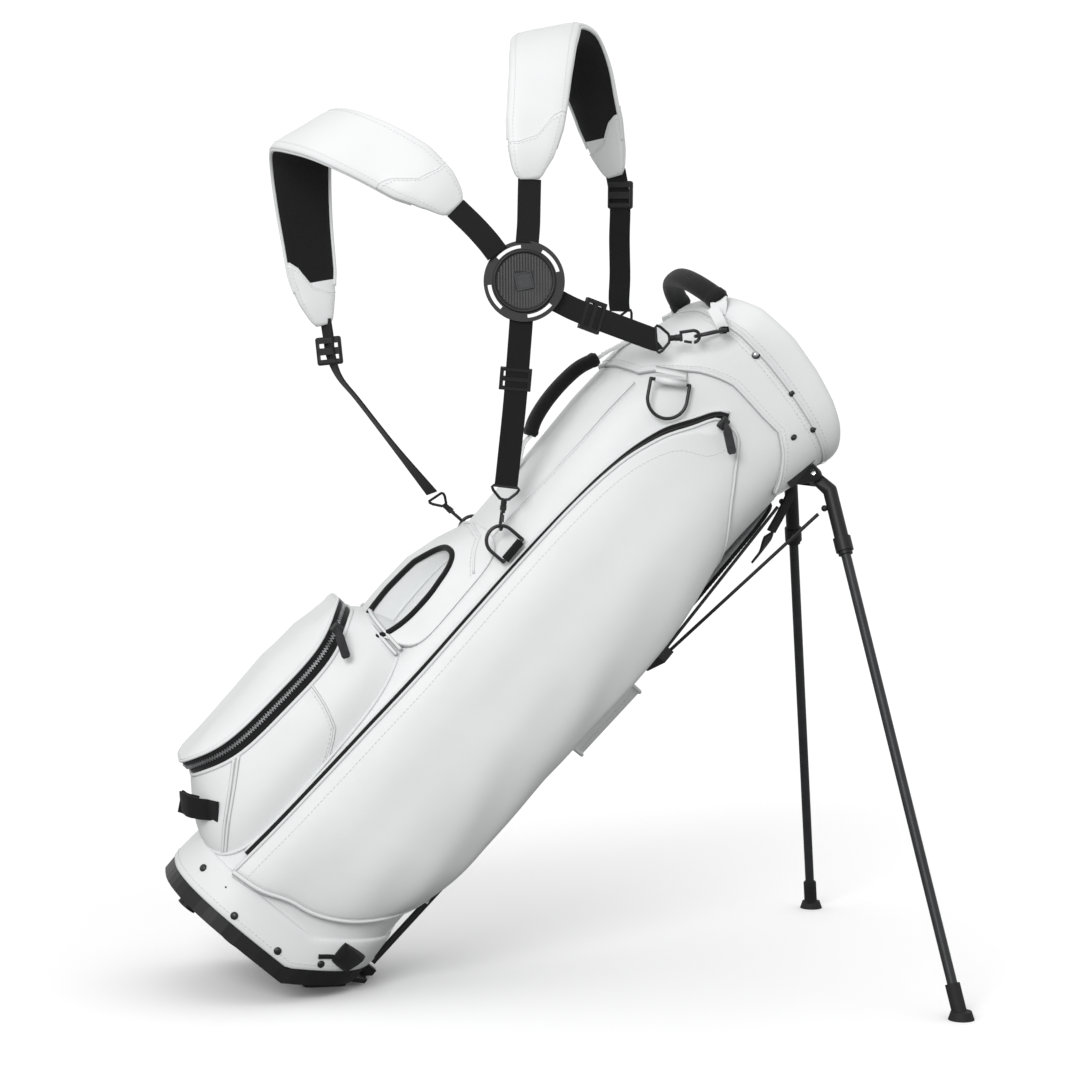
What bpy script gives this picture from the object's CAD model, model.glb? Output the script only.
"""Golf stand bag: sewn leather shell, pockets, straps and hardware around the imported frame."""
import math

import bpy
import numpy as np
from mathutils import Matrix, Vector


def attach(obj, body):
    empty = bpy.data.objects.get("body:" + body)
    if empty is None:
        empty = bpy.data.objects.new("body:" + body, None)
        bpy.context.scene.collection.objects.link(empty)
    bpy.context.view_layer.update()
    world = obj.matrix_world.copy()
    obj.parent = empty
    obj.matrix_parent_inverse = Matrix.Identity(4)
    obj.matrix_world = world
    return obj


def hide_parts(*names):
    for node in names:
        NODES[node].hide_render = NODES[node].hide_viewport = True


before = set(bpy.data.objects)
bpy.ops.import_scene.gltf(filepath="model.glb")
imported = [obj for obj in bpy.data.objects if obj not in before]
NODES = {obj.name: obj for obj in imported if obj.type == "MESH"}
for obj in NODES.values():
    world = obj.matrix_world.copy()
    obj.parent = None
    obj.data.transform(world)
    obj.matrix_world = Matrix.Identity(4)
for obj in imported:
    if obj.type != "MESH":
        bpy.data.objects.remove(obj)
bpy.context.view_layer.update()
MM = 0.001

# ---------------------------------------------------------------- camera, floor, light
CAM_PLACE = (-0.2145, -2.8037, 0.6549)
CAM_AIM = Vector((0.1626, 0.985, -0.0571))
camera_data = bpy.data.cameras.new("camera")
camera_data.lens, camera_data.sensor_width = 83.95, 36.0
camera_data.clip_end = 100
camera = bpy.data.objects.new("camera", camera_data)
camera.location = CAM_PLACE
camera.rotation_euler = CAM_AIM.to_track_quat("-Z", "Y").to_euler()
bpy.context.scene.collection.objects.link(camera)
bpy.context.scene.camera = camera
bpy.context.scene.view_settings.view_transform = "Standard"


def light(name, place, aim, size, power):
    """White disc light in metres and watts, turned towards aim."""
    data = bpy.data.lights.new(name, "AREA")
    data.shape, data.size, data.energy = "DISK", size, power
    lamp = bpy.data.objects.new(name, data)
    lamp.location = place
    lamp.rotation_euler = (Vector(aim) - Vector(place)).to_track_quat("-Z", "Y").to_euler()
    bpy.context.scene.collection.objects.link(lamp)


BAG_MIDDLE = (0.2, 0, 0.5)
light("key", (-1.9, -1.6, 2.6), BAG_MIDDLE, 1.3, 2)
light("front", (-1.3, -3.2, 2.0), BAG_MIDDLE, 1.6, 74)
light("top", (0.2, 0.3, 3.0), (0.2, 0, 0.2), 2.4, 2)


def studio_world(lit, seen):
    """White surroundings: one strength for the light they give, another where they are seen."""
    world = bpy.data.worlds.new("studio")
    bpy.context.scene.world = world
    world.use_nodes = True
    tree, background = world.node_tree, world.node_tree.nodes["Background"]
    background.inputs["Color"].default_value = (1, 1, 1, 1)
    strength = tree.nodes.new("ShaderNodeMapRange")
    strength.inputs["To Min"].default_value, strength.inputs["To Max"].default_value = lit, seen
    tree.links.new(tree.nodes.new("ShaderNodeLightPath").outputs["Is Camera Ray"], strength.inputs["Value"])
    tree.links.new(strength.outputs["Result"], background.inputs["Strength"])


studio_world(0.81, 1.05)


# ---------------------------------------------------------------- materials
class Shade:
    """A Principled material with chained procedural bump and colour."""

    def __init__(self, name, color, rough, **sockets):
        self.mat = bpy.data.materials.new(name)
        self.mat.use_nodes = True
        self.tree = self.mat.node_tree
        self.bsdf = self.tree.nodes["Principled BSDF"]
        self.bsdf.inputs["Base Color"].default_value = (*color, 1)
        self.bsdf.inputs["Roughness"].default_value = rough
        for key, value in sockets.items():
            self.bsdf.inputs[key.replace("_", " ")].default_value = value
        self.normal = None
        self.coords = self.new("ShaderNodeTexCoord").outputs["Object"]

    def new(self, kind, **values):
        node = self.tree.nodes.new(kind)
        for key, value in values.items():
            if key in node.inputs:
                node.inputs[key].default_value = value
            else:
                setattr(node, key, value)
        return node

    def link(self, a, b):
        self.tree.links.new(a, b)

    def stretched(self, scale, turn=(0, 0, 0)):
        node = self.new("ShaderNodeMapping")
        node.inputs["Scale"].default_value = scale
        node.inputs["Rotation"].default_value = turn
        self.link(self.coords, node.inputs["Vector"])
        return node.outputs["Vector"]

    def noise(self, scale, detail):
        node = self.new("ShaderNodeTexNoise", Scale=scale, Detail=detail)
        self.link(self.coords, node.inputs["Vector"])
        return node.outputs["Fac"]

    def cells(self, scale, vector):
        node = self.new("ShaderNodeTexVoronoi", Scale=scale, feature="DISTANCE_TO_EDGE")
        self.link(vector, node.inputs["Vector"])
        return node.outputs["Distance"]

    def wave(self, scale, axis, vector):
        node = self.new("ShaderNodeTexWave", Scale=scale, bands_direction=axis)
        self.link(vector, node.inputs["Vector"])
        return node.outputs["Fac"]

    def ranged(self, value, low, high, start=0.0, end=1.0):
        """Number that goes from low to high while value goes from start to end."""
        node = self.new("ShaderNodeMapRange")
        for key, limit in (("From Min", start), ("From Max", end), ("To Min", low), ("To Max", high)):
            node.inputs[key].default_value = limit
        self.link(value, node.inputs["Value"])
        return node.outputs["Result"]

    def bump(self, height, strength, distance):
        node = self.new("ShaderNodeBump", Strength=strength, Distance=distance)
        self.link(height, node.inputs["Height"])
        if self.normal:
            self.link(self.normal, node.inputs["Normal"])
        self.normal = node.outputs["Normal"]
        self.link(self.normal, self.bsdf.inputs["Normal"])

    def vary(self, fac, low, high):
        """Base colour that goes from low to high with fac."""
        ramp = self.new("ShaderNodeValToRGB")
        for element, position, value in zip(ramp.color_ramp.elements, (0.3, 0.7), (low, high)):
            element.position, element.color = position, (*value, 1)
        self.link(fac, ramp.inputs["Fac"])
        self.link(ramp.outputs["Color"], self.bsdf.inputs["Base Color"])


def tint(color, k):
    """The colour made k times as bright."""
    return tuple(min(1.0, c * k) for c in color)


def leather(name, color, grain=1.0, rough=0.46):
    s = Shade(name, color, rough, Specular_IOR_Level=0.35, Coat_Weight=0.04, Coat_Roughness=0.4)
    s.vary(s.noise(7, 4), tint(color, 0.965), tint(color, 1.02))
    s.bump(s.cells(900, s.stretched((1, 1, 0.8))), 0.10 * grain, 0.0004)
    s.bump(s.noise(420, 5), 0.10 * grain, 0.0005)
    s.bump(s.noise(16, 3), 0.20, 0.004)
    s.bump(s.noise(6, 2), 0.30, 0.012)
    s.link(s.ranged(s.noise(90, 4), rough - 0.06, rough + 0.08), s.bsdf.inputs["Roughness"])
    return s.mat


def plastic(name, color, rough, grain=900, strength=0.12):
    s = Shade(name, color, rough, Specular_IOR_Level=0.32)
    s.vary(s.noise(60, 4), tint(color, 0.85), tint(color, 1.2))
    s.bump(s.noise(grain, 4), strength, 0.0004)
    return s.mat


def metal_paint(name, color, rough, metallic=0.0):
    s = Shade(name, color, rough, Specular_IOR_Level=0.5, Metallic=metallic)
    s.vary(s.noise(120, 5), tint(color, 0.8), tint(color, 1.35))
    s.bump(s.noise(1400, 3), 0.08, 0.0003)
    return s.mat


def woven(name, color, scale, turn=(0, 0, 0), rough=0.8, strength=0.5):
    s = Shade(name, color, rough, Specular_IOR_Level=0.2, Sheen_Weight=0.12, Sheen_Roughness=0.5)
    turned = s.stretched((1, 1, 1), turn)
    a, b = s.wave(scale, "X", turned), s.wave(scale, "Z", turned)
    both = s.new("ShaderNodeMath", operation="MULTIPLY")
    s.link(a, both.inputs[0])
    s.link(b, both.inputs[1])
    s.vary(both.outputs[0], tint(color, 0.55), tint(color, 1.5))
    s.bump(both.outputs[0], strength, 0.0006)
    s.bump(s.noise(1500, 2), 0.15, 0.0003)
    return s.mat


WHITE = (0.715, 0.730, 0.730)
M = {
    "leather": leather("white_leather", WHITE),
    "piping": leather("white_piping", tint(WHITE, 0.98), 0.7, 0.5),
    "seam": leather("seam_shadow", tint(WHITE, 0.66), 0.3, 0.7),
    "thread": leather("white_thread", tint(WHITE, 0.93), 0.3, 0.6),
    "lining": woven("grey_lining", (0.30, 0.31, 0.31), 420),
    "mesh": woven("black_mesh", (0.012, 0.012, 0.013), 260, (0.4, 0.7, 0.3), 0.9, 0.9),
    "webbing": woven("black_webbing", (0.010, 0.010, 0.011), 330, (0.2, 0.5, 0.1), 0.75, 0.6),
    "neoprene": woven("black_neoprene", (0.011, 0.011, 0.012), 520, (0.3, 0.2, 0.7), 0.85, 0.35),
    "moulded": plastic("black_moulded", (0.010, 0.010, 0.011), 0.46),
    "satin": plastic("charcoal_plastic", (0.036, 0.036, 0.038), 0.36, 700, 0.2),
    "rubber": plastic("black_rubber", (0.014, 0.014, 0.014), 0.7, 500, 0.3),
    "paint": metal_paint("black_metal", (0.011, 0.011, 0.012), 0.38),
    "gun": metal_paint("gunmetal", (0.055, 0.055, 0.058), 0.3, 0.9),
    "silver": metal_paint("satin_silver", (0.52, 0.53, 0.54), 0.32, 0.95),
    "tube": plastic("graphite_tube", (0.024, 0.025, 0.027), 0.4, 1100, 0.35),
    "zip": woven("zip_tape", (0.013, 0.013, 0.014), 700, (0, 0.6, 0), 0.8, 0.4),
}
FINISH = {
    "moulded": ["base_cup", "foot_plate", "top_ring", "hinge_housing", "leg_arm_near", "leg_arm_far",
                "strap_fittings", "slide_low", "slide_top", "hub_disc"],
    "rubber": ["foot_pad", "leg_foot_near", "leg_foot_far", "hub_cap"],
    "paint": ["rivets", "push_rod", "link_near", "link_far", "d_rings", "towel_ring", "zip_sliders",
              *[f"{part}_{level}_{side}" for part in ("hook", "gate") for level in ("low", "top")
                for side in ("near", "far")]],
    "gun": ["near_puller", "far_puller", "ball_puller"],
    "silver": ["hinge_pins"],
    "tube": ["leg_tube_near", "leg_tube_far", "stays"],
    "lining": ["divider_sheets"],
    "neoprene": ["ring_loops", "fabric_tabs"],
    "leather": ["spine_panel", "front_panel", "near_panel", "far_panel"],
}
for key, names in FINISH.items():
    for node_name in names:
        NODES[node_name].data.materials.clear()
        NODES[node_name].data.materials.append(M[key])

# ---------------------------------------------------------------- geometry helpers
CORD_HINT = np.array([0.31, 0.17, 0.93])
ANGLES = np.arange(0, 360, 3.0)
CUBE = [(0, 1, 3, 2), (4, 6, 7, 5), (0, 4, 5, 1), (2, 3, 7, 6), (0, 2, 6, 4), (1, 5, 7, 3)]
BOTH = (("near", -1), ("far", 1))
LEAN = math.radians(40.5)
COS, SIN = math.cos(LEAN), math.sin(LEAN)
ORIGIN = np.array([-84.0, 0.0, 50.4])


def to_world(p):
    """Bag millimetres to row-frame metres; any leading shape."""
    p = np.asarray(p, float)
    x = p[..., 0] * COS + p[..., 2] * SIN
    z = p[..., 2] * COS - p[..., 0] * SIN
    return (np.stack([x, p[..., 1], z], -1) + ORIGIN) * MM


def spow(v, e):
    """Power of a number's size, with its sign kept."""
    return np.sign(v) * np.abs(v) ** e


def unit(v):
    v = np.asarray(v, float)
    return v / np.maximum(np.linalg.norm(v, axis=-1, keepdims=True), 1e-12)


def turned(v):
    """Bag direction in millimetres as a row-frame vector in metres."""
    return to_world(v) - to_world([0, 0, 0])


def flip(points, sign):
    """Near-side points in metres, carried to the side named by sign."""
    return points if sign < 0 else np.asarray(points) * [1, -1, 1]


def radial(p):
    """Unit direction from the bag's axis out to each bag point."""
    return unit(p * [1, 1, 0])


def full_turn(count):
    """Even angles round a circle, in radians."""
    return np.linspace(0, 2 * np.pi, count, endpoint=False)


def arc(path):
    """Distance along a line to each of its points."""
    return np.concatenate([[0], np.cumsum(np.linalg.norm(np.diff(path, axis=0), axis=1))])


def look_up(at, stations, field):
    """Rows of a field, read between its stations."""
    return np.stack([np.interp(at, stations, field[:, k]) for k in range(field.shape[1])], -1)


def cap(count, row=0):
    """End face of a swept grid at its first row, or facing the other way at a later row."""
    ring = tuple(row * count + j for j in range(count))
    return ring if row else ring[::-1]


def grid_faces(rows, cols, close_rows=False, close_cols=False):
    """Four-sided faces between neighbours of a grid of points."""
    faces = []
    for i in range(rows if close_rows else rows - 1):
        for j in range(cols if close_cols else cols - 1):
            k, l = (i + 1) % rows, (j + 1) % cols
            faces.append((i * cols + j, i * cols + l, k * cols + l, k * cols + j))
    return faces


def piece(name, verts, faces, material, body="bag", replaces=(), smooth=True, picks=None):
    """Makes one visible piece from points in metres; material may be a list with picks per face."""
    mesh = bpy.data.meshes.new(name)
    mesh.from_pydata([tuple(v) for v in np.asarray(verts).reshape(-1, 3)], [], [tuple(f) for f in faces])
    obj = bpy.data.objects.new(name, mesh)
    bpy.context.scene.collection.objects.link(obj)
    kinds = [material] if isinstance(material, str) else list(material)
    for kind in kinds:
        mesh.materials.append(M[kind])
    if picks is not None:
        mesh.polygons.foreach_set("material_index", np.asarray(picks, np.int32))
    mesh.polygons.foreach_set("use_smooth", [smooth] * len(mesh.polygons))
    mesh.update()
    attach(obj, body)
    if replaces:
        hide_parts(*replaces)
    return obj


def shell(name, outer, inner, material, close_cols=False, **options):
    """Closed sheet between an outer and an inner grid of points."""
    rows, cols = outer.shape[:2]
    n = rows * cols
    faces = grid_faces(rows, cols, False, close_cols)
    faces += [tuple(n + k for k in reversed(face)) for face in faces]
    for i in (0, rows - 1):
        for j in range(cols if close_cols else cols - 1):
            a, b = i * cols + j, i * cols + (j + 1) % cols
            faces.append((a, n + a, n + b, b) if i == 0 else (b, n + b, n + a, a))
    if not close_cols:
        for j in (0, cols - 1):
            for i in range(rows - 1):
                a, b = i * cols + j, (i + 1) * cols + j
                faces.append((b, n + b, n + a, a) if j == 0 else (a, n + a, n + b, b))
    verts = np.concatenate([outer.reshape(-1, 3), inner.reshape(-1, 3)])
    return piece(name, verts, faces, material, **options)


def smooth_path(points, count, closed=False):
    """Catmull-Rom curve through the points, evenly spaced."""
    p = np.asarray(points, float)
    n = len(p)
    if closed:
        q = np.concatenate([p[-1:], p, p[:2]])
        spans = n
    else:
        q = np.concatenate([2 * p[:1] - p[1:2], p, 2 * p[-1:] - p[-2:-1]])
        spans = n - 1
    out = []
    t = np.linspace(0, 1, 17)[:-1, None]
    for i in range(spans):
        a, b, c, d = q[i], q[i + 1], q[i + 2], q[i + 3]
        square, cube = 2 * a - 5 * b + 4 * c - d, 3 * b - a - 3 * c + d
        out.append(0.5 * (2 * b + (c - a) * t + square * t ** 2 + cube * t ** 3))
    out.append(p[:1] if closed else p[-1:])
    dense = np.concatenate(out)
    s = arc(dense[:, :3])
    goal = np.linspace(0, s[-1], count + 1)[:-1] if closed else np.linspace(0, s[-1], count)
    return look_up(goal, s, dense)


def frames(path, hint, closed=False):
    """Tangent, side and normal at each point; hint is one direction or one per point."""
    t = unit(np.roll(path, -1, 0) - np.roll(path, 1, 0)) if closed else unit(np.gradient(path, axis=0))
    side = np.broadcast_to(np.asarray(hint, float), path.shape)
    side = unit(side - t * np.sum(side * t, -1, keepdims=True))
    return t, side, np.cross(t, side)


def sweep(name, path, side, section, material, closed=False, **options):
    """Sweeps a closed section along a path in metres; the section lies along side and normal."""
    _, s, n = frames(path, side, closed)
    section = np.asarray(section, float)
    if section.ndim == 2:
        section = np.broadcast_to(section, (len(path),) + section.shape)
    pts = path[:, None] + s[:, None] * section[..., :1] + n[:, None] * section[..., 1:]
    rows, cols = pts.shape[:2]
    faces = grid_faces(rows, cols, closed, True)
    if not closed:
        faces += [cap(cols), cap(cols, rows - 1)]
    return piece(name, pts, faces, material, **options)


def disc(wide, high=None, count=10, power=1.0):
    """Closed outline of a disc or oval; a power below 1 squares it."""
    angle = full_turn(count)
    return np.stack([wide * spow(np.cos(angle), power), (high or wide) * spow(np.sin(angle), power)], -1)


def rope(name, path, radius, material, closed=False, count=10, **options):
    """Round cord of a radius in millimetres along a path in metres."""
    return sweep(name, path, CORD_HINT, disc(radius * MM, count=count), material, closed, **options)


def rope_pair(name, path, radius, material, **options):
    """The same cord on both sides of the bag, named after its side."""
    for side, sign in BOTH:
        rope(f"{side}_{name}", flip(path, sign), radius, material, **options)


def looped(line):
    """A closed line with its first point again at its end."""
    return np.concatenate([line, line[:1]])


def beside(path, normal, lift=0.0):
    """Line for thread that runs 4 mm to one side of a seam, with its normals."""
    across = np.cross(unit(np.gradient(path, axis=0)), normal)
    return path + across * 4 * MM + normal * lift * MM, normal


def blocks(name, corners, material):
    """One piece made of many separate eight-cornered blocks."""
    faces = [tuple(8 * k + j for j in face) for k in range(len(corners)) for face in CUBE]
    return piece(name, np.concatenate(corners), faces, material, smooth=False)


def stitches(name, lines, length=3.4, pitch=5.0, radius=0.42):
    """Rows of raised thread: lines is a list of (path, normals) in metres, sizes in millimetres."""
    parts = []
    length, pitch, radius = length * MM, pitch * MM, radius * MM
    ring = disc(radius, radius * 0.8, 6)
    for path, normals in lines:
        s = arc(path)
        at = np.arange(pitch / 2, s[-1] - length / 2, pitch)
        if not len(at):
            continue
        rows = [look_up(at + share * length, s, path) for share in (-1 / 2, -1 / 3, 1 / 3, 1 / 2)]
        out = unit(look_up(at, s, np.broadcast_to(np.asarray(normals, float), path.shape)))
        side = np.cross(unit(rows[3] - rows[0]), out)
        rings = []
        for middle, shrink, lift in zip(rows, (0.35, 1, 1, 0.35), (-0.5, 0.35, 0.35, -0.5)):
            middle = (middle + out * lift * radius)[:, None]
            rings.append(middle + (side[:, None] * ring[:, :1] + out[:, None] * ring[:, 1:]) * shrink)
        parts.append(np.stack(rings, 1).reshape(-1, 3))
    verts = np.concatenate(parts)
    stitch = grid_faces(4, 6, False, True) + [cap(6), cap(6, 3)]
    faces = [tuple(start + k for k in face) for start in range(0, len(verts), 24) for face in stitch]
    return piece(name, verts, faces, "thread")


def stitch_pair(name, rows, **options):
    """The same rows of thread on both sides of the bag, named after its side."""
    for side, sign in BOTH:
        stitches(f"{side}_{name}", [(flip(path, sign), flip(out, sign)) for path, out in rows], **options)


# ---------------------------------------------------------------- the tube's surface
STATIONS = np.array([16, 60, 100, 400, 700, 765, 810, 872], float)
# at each station: forward shift, tilt in degrees, half depth, half width, squareness
SECTIONS = np.array([[0, 0, 117, 118, 2.8], [0.5, 0, 114, 115, 3.0], [1, 0, 111, 113, 3.2],
                     [7, 0, 113, 112, 3.4], [13, 2, 119, 113, 3.4], [17, 6, 118, 116, 3.6],
                     [28, 9, 112, 118, 3.8], [42, 12, 105, 120, 4.0]])
RIM_U = 872.0
# how far the rim rises at each distance behind the axis
RIM_LIFT = np.array([[-64, -13], [-56, -9], [-28, 3], [18, 11], [62, 10], [97, 5], [123, -2], [147, -12]])
BASE_TOP, HEEL = 16.4, 34.0


def base_top(w):
    """Height of the base cup's top edge, which climbs behind the heel."""
    return BASE_TOP + 0.6 * np.maximum(0, w - HEEL)


def waviness(u, a, seed, amount):
    """Slow random waves of soft leather; amount is their largest possible height."""
    rng = np.random.default_rng(seed)
    total = 0
    for _ in range(5):
        along, turns, start = rng.uniform(0.006, 0.03), rng.integers(1, 7), rng.uniform(0, 6.28)
        total = total + np.sin(u * along + np.radians(a * turns) + start)
    return total * amount / 5


def skin(u, a, off=0.0, off_w=None):
    """Bag point on the tube at height u and angle a in degrees, off millimetres outside it."""
    u, a, off = np.broadcast_arrays(np.asarray(u, float), np.asarray(a, float), np.asarray(off, float))
    s = [np.interp(u, STATIONS, SECTIONS[:, k]) for k in range(5)]
    tilt, e = np.radians(s[1]), 2 / s[4]
    off_w = off if off_w is None else off_w
    p = (s[2] + off_w) * spow(np.cos(np.radians(a)), e)
    w, v = s[0] + p * np.cos(tilt), u - p * np.sin(tilt)
    v = v + np.clip((u - 760) / 112, 0, 1) ** 2 * np.interp(w, RIM_LIFT[:, 0], RIM_LIFT[:, 1])
    return np.stack([w, (s[3] + off) * spow(np.sin(np.radians(a)), e), np.maximum(v, base_top(w))], -1)


def find(w, v):
    """Height and angle of the near side's point at bag position w, v."""
    u = float(v)
    for _ in range(12):
        s = [np.interp(u, STATIONS, SECTIONS[:, k]) for k in range(5)]
        x = np.clip((w - s[0]) / np.cos(np.radians(s[1])) / s[2], -0.9999, 0.9999)
        a = np.degrees(np.arccos(spow(x, s[4] / 2)))
        u += v - skin(u, a)[2]
    return u, 360 - a


def on_side(points, off, count):
    """Smooth line on the near side through bag positions (w, v), with its normals."""
    ua = smooth_path([find(w, v) for w, v in points], count)
    return sewn_line(ua[:, 0], ua[:, 1], off)


def side_normal(ua):
    """Unit directions out of the tube at rows of (height, angle)."""
    a, b = skin(ua[:, 0], ua[:, 1], 0), skin(ua[:, 0], ua[:, 1], 5)
    return unit(to_world(b) - to_world(a))


def sewn_line(u, a, off):
    """Line off millimetres outside the tube, with its normals, for rows of thread."""
    ua = np.stack(np.broadcast_arrays(u, a), -1).astype(float)
    return to_world(skin(ua[:, 0], ua[:, 1], off)), side_normal(ua)


# ---------------------------------------------------------------- sewn tube
def band(value, low, high, ease):
    """One between low and high, falling to zero just outside them."""
    return np.clip((value - low) / ease, 0, 1) * np.clip((high - value) / ease, 0, 1)


def recess(p, floor_w=116.0):
    """Lets the spine side in behind the leg housings."""
    inside = band(np.abs(p[..., 1]), 42, 104, 4) * band(p[..., 2], 757, 815, 3)
    out = p.copy()
    out[..., 0] = np.where(p[..., 0] > floor_w, p[..., 0] * (1 - inside) + floor_w * inside, p[..., 0])
    return out


def tube_shell():
    """The leather tube itself, a closed sheet with slow waves."""
    u = np.concatenate([[16.0], np.arange(19, 872, 9.0), [868.0]])[:, None]
    soft = waviness(u, ANGLES[None], 3, 1.5) * np.clip((u - 60) / 80, 0, 1) * np.clip((840 - u) / 60, 0, 1)
    outer, inner = recess(skin(u, ANGLES, soft - 0.5)), recess(skin(u, ANGLES, -4.5), 112)
    shell("tube_shell", to_world(outer), to_world(inner), "leather", close_cols=True,
          replaces=("front_panel", "spine_panel", "near_panel", "far_panel"))


tube_shell()


def kick_band():
    """Stiffened band above the base, with a row of topstitching."""
    slope, foot = 0.62, 16
    u = np.array([foot, 17.5, 22, 30, 40, 50, 56, 58.5, 59])[:, None] + 0 * ANGLES
    out = np.array([1.2, 2.2, 2.6, 2.6, 2.5, 2.3, 2.0, 1.2, 0.0])[:, None]
    lift = slope * np.maximum(0, skin(foot, ANGLES)[..., 0] - HEEL)
    outer = skin(u, ANGLES, out)
    raised = np.maximum(outer[..., 2], BASE_TOP + u - foot + lift)
    outer[..., 2] = np.where(u > foot, raised, outer[..., 2])
    shell("kick_band", to_world(outer), to_world(outer * [0.975, 0.975, 1]), "leather", close_cols=True)
    a = np.append(ANGLES, 360.0)
    line = skin(24.0, a, 2.9)
    line[:, 2] = BASE_TOP + 7.5 + slope * np.maximum(0, line[:, 0] - HEEL)
    stitches("kick_stitches", [(to_world(line), side_normal(np.stack([np.full_like(a, 24.0), a], -1)))])


kick_band()


# ---------------------------------------------------------------- side pockets
ZIP_LINE = [(-71, 60), (-66, 120), (-62, 190), (-58, 270), (-54, 350), (-52, 440), (-50, 520), (-46, 600),
            (-38, 663), (-23, 712), (-4, 746), (20, 776)]
REAR_SEAM = [(20, 776), (44, 768), (67, 735), (92, 700), (121, 656)]
HEM = [(-71, 60), (-40, 64), (1, 77), (53, 99), (92, 139), (108, 166)]
BACK_EDGE = 336.0
BULGE_SIDE = 16.0
BULGE_BACK = ([60, 350, 450, 600], [15, 16, 25, 37])


def edge_curve(points, count):
    """Heights and angles along a sewn edge through bag positions (w, v)."""
    return smooth_path([find(w, v) for w, v in points], count)


def pocket_field():
    """Heights and angles of the near pocket's grid: a blend of its four sewn edges."""
    rows, cols = 96, 72
    left, top = edge_curve(ZIP_LINE, rows), edge_curve(REAR_SEAM, cols)
    bottom = edge_curve(HEM, cols)
    top[-1], bottom[-1] = (640, BACK_EDGE), (190, BACK_EDGE)
    right = np.stack([np.linspace(190, 640, rows), np.full(rows, BACK_EDGE)], -1)
    left[0], left[-1] = bottom[0], top[0]
    s, t = np.linspace(0, 1, cols)[None, :, None], np.linspace(0, 1, rows)[:, None, None]
    across = (1 - s) * left[:, None] + s * right[:, None]
    up = (1 - t) * bottom[None] + t * top[None]
    corners = (1 - t) * ((1 - s) * bottom[0] + s * bottom[-1]) + t * ((1 - s) * top[0] + s * top[-1])
    flat = across + up - corners
    return flat, s[..., 0] + 0 * t[..., 0], t[..., 0] + 0 * s[..., 0]


def rise(d, length, power=0.75):
    """Rounded climb from zero at d = 0 to one at d = length."""
    return np.sin(np.clip(d / length, 0, 1) * np.pi / 2) ** power


def pocket_surface(flat, s, t):
    """Bag points of the filled pocket over its flat grid; s and t are shares across and up."""
    u, a = flat[..., 0], flat[..., 1]
    fill = rise(s, 0.42, 0.9) * rise(1 - s, 0.16, 0.55) * rise(t, 0.16, 0.7) * rise(1 - t, 0.42, 0.95)
    edge = 3.2 + 5.5 * rise(1 - t, 0.9) * (1 - rise(s, 0.9) * 0.3)
    soft = (waviness(u, a, 11, 3.2) + waviness(u * 2.6, a * 2, 12, 1.3)) * fill
    back = np.clip((a - 268) / 60, 0, 1) * np.interp(u, *BULGE_BACK)
    return skin(u, a, edge + BULGE_SIDE * fill + soft, edge + fill * back + soft)


POCKET_UA, POCKET_S, POCKET_T = pocket_field()
POCKET_LOCAL = pocket_surface(POCKET_UA, POCKET_S, POCKET_T)


def pocket_line(row=None, col=None, lift=0.0):
    """A grid line of the near pocket with its outward normals, in metres."""
    pts = to_world(POCKET_LOCAL)
    du, dv = np.gradient(pts, axis=0), np.gradient(pts, axis=1)
    normal = unit(np.cross(du, dv))
    normal = normal * np.sign(np.sum(normal * [0, -1, 0.0], -1, keepdims=True) + 1e-9)
    pick = (row, slice(None)) if row is not None else (slice(None), col)
    return pts[pick] + normal[pick] * lift * MM, normal[pick]


def side_pockets():
    """Both side pockets, with piping and thread along their sewn edges."""
    outer, inner = to_world(POCKET_LOCAL), to_world(skin(POCKET_UA[..., 0], POCKET_UA[..., 1], 0.2))
    for side, sign in BOTH:
        pocket = shell(f"{side}_side_pocket", flip(outer, sign), flip(inner, sign), "leather",
                       replaces=(f"{side}_pocket",))
    edges = {"hem": (pocket_line(row=0), 3.2, 0.2, 2.3), "front": (pocket_line(col=0), 2.4, 0.2, 1.7),
             "rear": (pocket_line(row=-1), 2.2, 0.1, 1.5)}
    for label, ((edge, out), groove, lift, cord) in edges.items():
        rope_pair(f"{label}_groove", edge - out * 1.3 * MM, groove, "seam")
        rope_pair(f"{label}_piping", edge + out * lift * MM, cord, "piping")
    hem, hem_out = pocket_line(row=0)
    rope_pair("hem_piping_low", hem - hem_out * 4.2 * MM + turned([0, 0, -3.0]), 2.2, "piping")
    rope_pair("back_piping", pocket_line(col=-1)[0], 1.6, "piping")
    stitch_pair("pocket_stitches", [pocket_line(col=4, lift=0.15)], radius=0.36)


side_pockets()


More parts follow.
